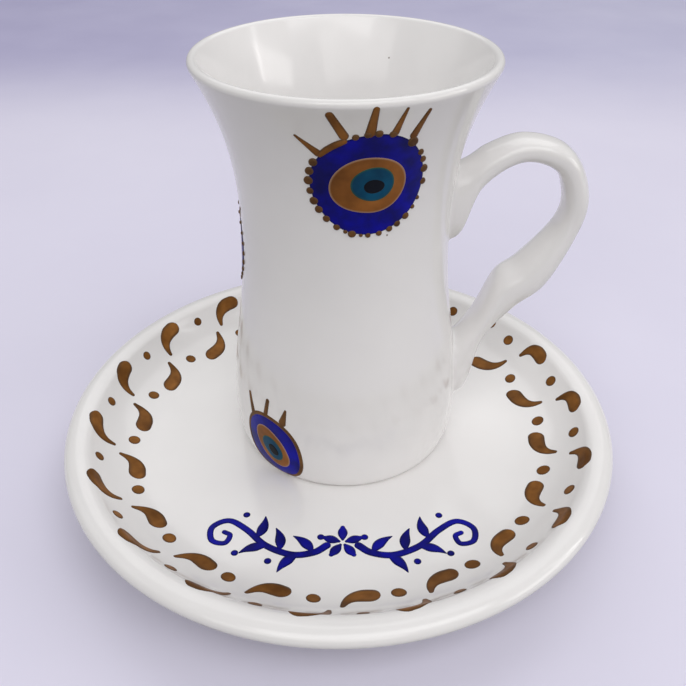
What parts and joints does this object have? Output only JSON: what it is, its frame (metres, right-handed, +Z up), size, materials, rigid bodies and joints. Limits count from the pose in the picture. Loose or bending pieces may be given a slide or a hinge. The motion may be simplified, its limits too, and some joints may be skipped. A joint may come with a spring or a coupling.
{
  "type": "coffee cup with saucer",
  "caption": "Small tulip-shaped glazed porcelain coffee cup with a swept ear handle, standing on a matching deep saucer with a rolled lip; the cup lifts off.",
  "frame": {"origin": "middle of the saucer's foot ring, on the table", "axes": "+Z up, +X towards the handle's side, -Y towards the front that carries the large painted eye"},
  "size_m": [0.1206, 0.1206, 0.092],
  "materials": {
    "porcelain": "glossy clear glaze over white porcelain",
    "blue_enamel": "glossy overglaze enamel, cobalt blue",
    "gold_enamel": "brushed gold-brown overglaze enamel",
    "turquoise_enamel": "glossy overglaze enamel, turquoise",
    "dark_enamel": "glossy overglaze enamel, near black"
  },
  "bodies": {
    "saucer": {"saucer": "porcelain"},
    "cup": {"cup_body": "porcelain", "cup_handle": "porcelain"}
  },
  "joints": [
    {"name": "cup_lift", "type": "slide", "parent": "saucer", "child": "cup", "axis": [0, 0, 1], "range_m": [0, 0.1]}
  ]
}
